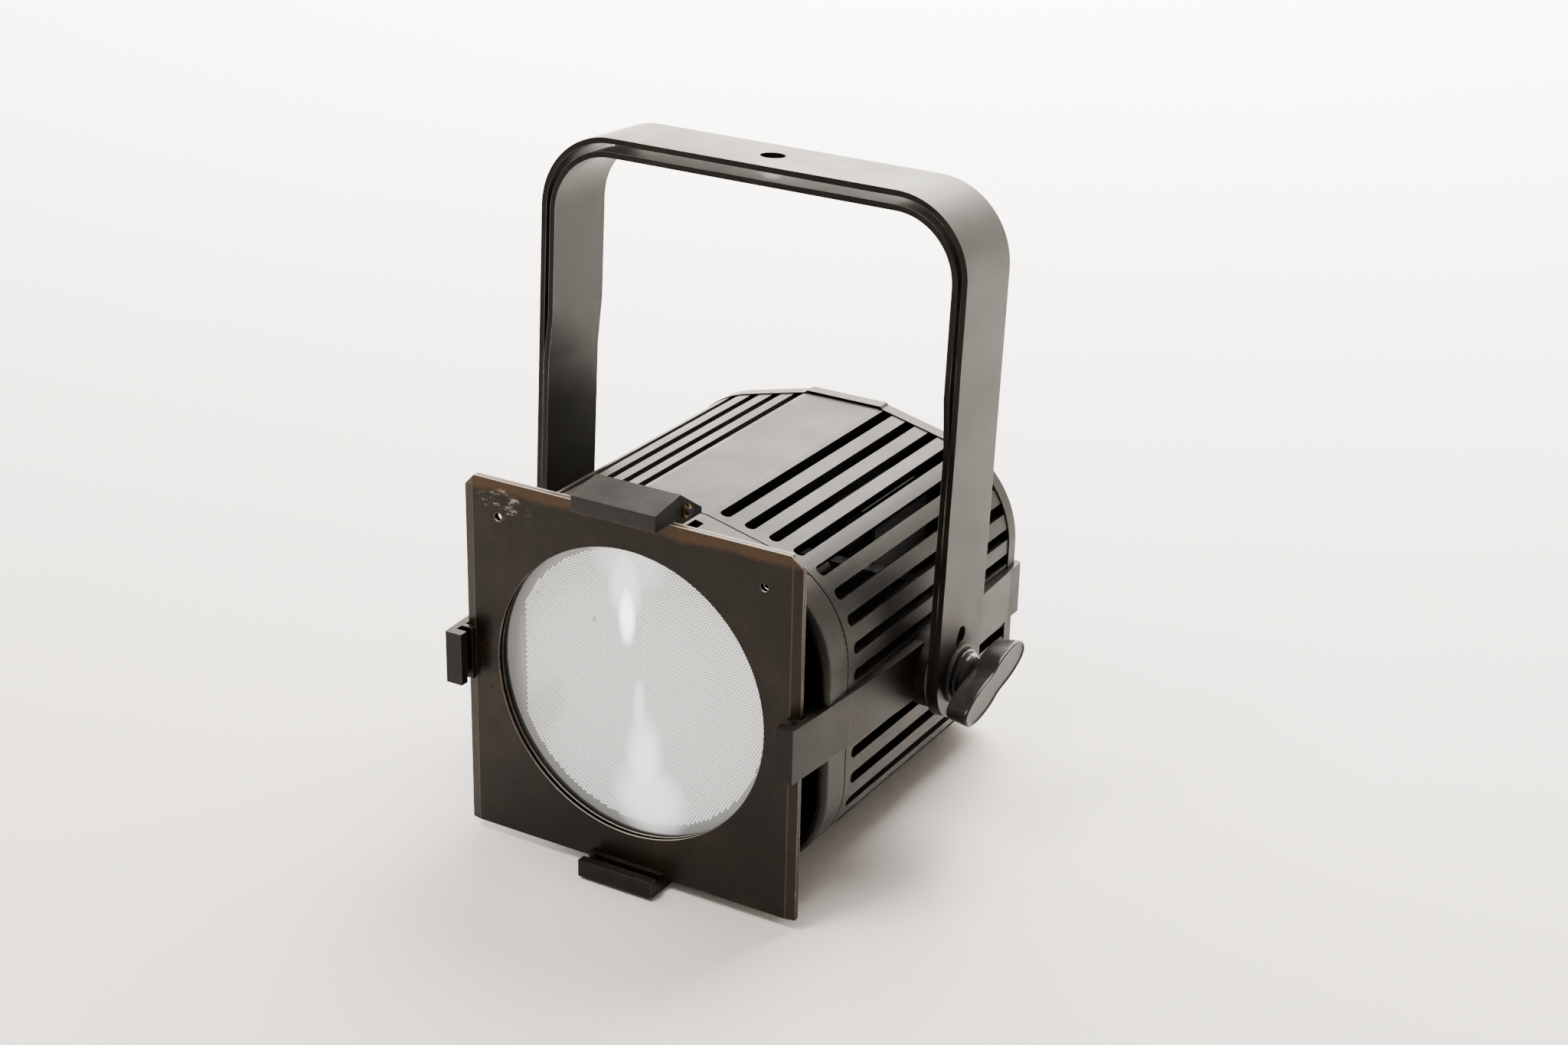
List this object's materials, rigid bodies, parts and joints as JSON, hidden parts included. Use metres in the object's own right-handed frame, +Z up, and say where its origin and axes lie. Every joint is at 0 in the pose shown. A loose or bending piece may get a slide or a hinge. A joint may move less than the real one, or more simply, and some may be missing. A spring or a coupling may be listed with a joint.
{
  "type": "fresnel spotlight",
  "caption": "LED fresnel spotlight with double tilting yoke, winged clamp knobs, square gel frame in sprung-latch holders, vented housing and rear controls.",
  "frame": {"origin": "middle of the bounding box, at the underside of the bottom gel-frame holder", "axes": "+X to the right seen from the front, +Y to the rear along the beam axis, +Z up; the beam leaves along -Y"},
  "size_m": [0.282, 0.247, 0.3399],
  "materials": {
    "cast_black": "fine-textured black powder coat on die-cast aluminium",
    "yoke_black": "black powder coat on steel strap, worn to bare metal along the edges",
    "sheet_black": "satin black paint on thin sheet steel, rubbed brown at the top",
    "latch_steel": "satin dark grey pressed steel",
    "knob_plastic": "glossy black moulded plastic",
    "socket_plastic": "matt black moulded plastic",
    "white_plastic": "matt white reflective plastic",
    "lens_plastic": "clear plastic with a pressed prism texture, looks off-white",
    "display_glass": "dark display window",
    "gasket": "soft black",
    "friction_fibre": "hard brown friction fibre",
    "steel": "zinc-plated",
    "black_steel": "blackened",
    "sink_alu": "plain extruded",
    "tube_alu": "spun, white-coated inside",
    "board": "green circuit board",
    "led": "yellow phosphor",
    "contact_brass": "plated contact"
  },
  "bodies": {
    "housing": {"main_housing": "cast_black", "front_bezel": "cast_black", "bezel_screws": "black_steel", "rear_ring": "cast_black", "rear_panel": "sheet_black", "panel_screws": "black_steel", "lens": "lens_plastic", "lens_ring": "sheet_black", "lens_gasket": "gasket", "light_tube": "tube_alu", "led_holder": "white_plastic", "led_board": "board", "led_chips": "led", "heat_sink": "sink_alu", "holder_screws": "steel", "driver_tray": "steel", "driver_board": "board", "driver_standoffs": "steel", "driver_parts": "socket_plastic", "control_board": "board", "control_standoffs": "steel", "button_switches": "socket_plastic", "display_module": "socket_plastic", "display_glass": "display_glass", "power_inlet": "socket_plastic", "power_outlet": "socket_plastic", "data_in": "socket_plastic", "data_out": "socket_plastic", "connector_contacts": "contact_brass", "connector_screws": "black_steel", "fuse_holder": "socket_plastic", "safety_bracket": "black_steel", "safety_screws": "black_steel", "latch_pin": "steel", "latch_clips": "steel", "latch_spring": "steel"},
    "gel_frame": {"gel_frame": "sheet_black", "gel_frame_back": "sheet_black"},
    "latch": {"latch": "latch_steel"},
    "outer_yoke": {"outer_yoke": "yoke_black"},
    "inner_yoke": {"inner_yoke": "yoke_black", "yoke_set_screws": "steel", "friction_disc_right": "friction_fibre", "friction_disc_left": "friction_fibre"},
    "clamp_right": {"clamp_washer_right": "steel"},
    "clamp_left": {"clamp_washer_left": "steel"},
    "knob_right": {"knob_right": "knob_plastic", "knob_stud_right": "steel"},
    "knob_left": {"knob_left": "knob_plastic", "knob_stud_left": "steel"},
    "button_1": {"button_1": "socket_plastic"},
    "button_2": {"button_2": "socket_plastic"},
    "button_3": {"button_3": "socket_plastic"},
    "button_4": {"button_4": "socket_plastic"},
    "data_latch": {"data_out_latch": "latch_steel"},
    "fuse_cap": {"fuse_cap": "socket_plastic"}
  },
  "joints": [
    {"name": "outer_yoke_tilt", "type": "hinge", "parent": "housing", "child": "outer_yoke", "pos_m": [0, 0.004, 0.0967], "axis": [1, 0, 0], "range_deg": [-170, 170]},
    {"name": "inner_yoke_tilt", "type": "hinge", "parent": "housing", "child": "inner_yoke", "pos_m": [0, 0.004, 0.0967], "axis": [1, 0, 0], "range_deg": [-170, 170]},
    {"name": "clamp_right_slide", "type": "slide", "parent": "housing", "child": "clamp_right", "axis": [1, 0, 0], "range_m": [0, 0.003]},
    {"name": "clamp_left_slide", "type": "slide", "parent": "housing", "child": "clamp_left", "axis": [-1, 0, 0], "range_m": [0, 0.003]},
    {"name": "knob_right_turn", "type": "hinge", "parent": "clamp_right", "child": "knob_right", "pos_m": [0, 0.004, 0.0967], "axis": [1, 0, 0], "range_deg": [0, 720]},
    {"name": "knob_left_turn", "type": "hinge", "parent": "clamp_left", "child": "knob_left", "pos_m": [0, 0.004, 0.0967], "axis": [-1, 0, 0], "range_deg": [0, 720]},
    {"name": "gel_frame_lift", "type": "slide", "parent": "housing", "child": "gel_frame", "axis": [0, 0, 1], "range_m": [0, 0.015]},
    {"name": "latch_open", "type": "hinge", "parent": "housing", "child": "latch", "pos_m": [0, -0.097, 0.1976], "axis": [-1, 0, 0], "range_deg": [0, 95], "stiffness_Nm_per_rad": 0.004, "springref_deg": -22.92},
    {"name": "button_1_press", "type": "slide", "parent": "housing", "child": "button_1", "axis": [0, -1, 0], "range_m": [0, 0.001], "stiffness_N_per_m": 400, "springref_m": -0.0005},
    {"name": "button_2_press", "type": "slide", "parent": "housing", "child": "button_2", "axis": [0, -1, 0], "range_m": [0, 0.001], "stiffness_N_per_m": 400, "springref_m": -0.0005},
    {"name": "button_3_press", "type": "slide", "parent": "housing", "child": "button_3", "axis": [0, -1, 0], "range_m": [0, 0.001], "stiffness_N_per_m": 400, "springref_m": -0.0005},
    {"name": "button_4_press", "type": "slide", "parent": "housing", "child": "button_4", "axis": [0, -1, 0], "range_m": [0, 0.001], "stiffness_N_per_m": 400, "springref_m": -0.0005},
    {"name": "data_latch_press", "type": "slide", "parent": "housing", "child": "data_latch", "axis": [0, -1, 0], "range_m": [0, 0.0012], "stiffness_N_per_m": 400, "springref_m": -0.0005},
    {"name": "fuse_cap_turn", "type": "hinge", "parent": "housing", "child": "fuse_cap", "pos_m": [0, 0.1035, 0.0402], "axis": [0, 1, 0], "range_deg": [0, 60]}
  ],
  "couplings": [
    {"joint": "knob_right_turn", "follows": "clamp_right_slide", "rad_per_m": 4188.8},
    {"joint": "knob_left_turn", "follows": "clamp_left_slide", "rad_per_m": 4188.8},
    {"joint": "latch_open", "follows": "gel_frame_lift", "rad_per_m": 110.5}
  ]
}
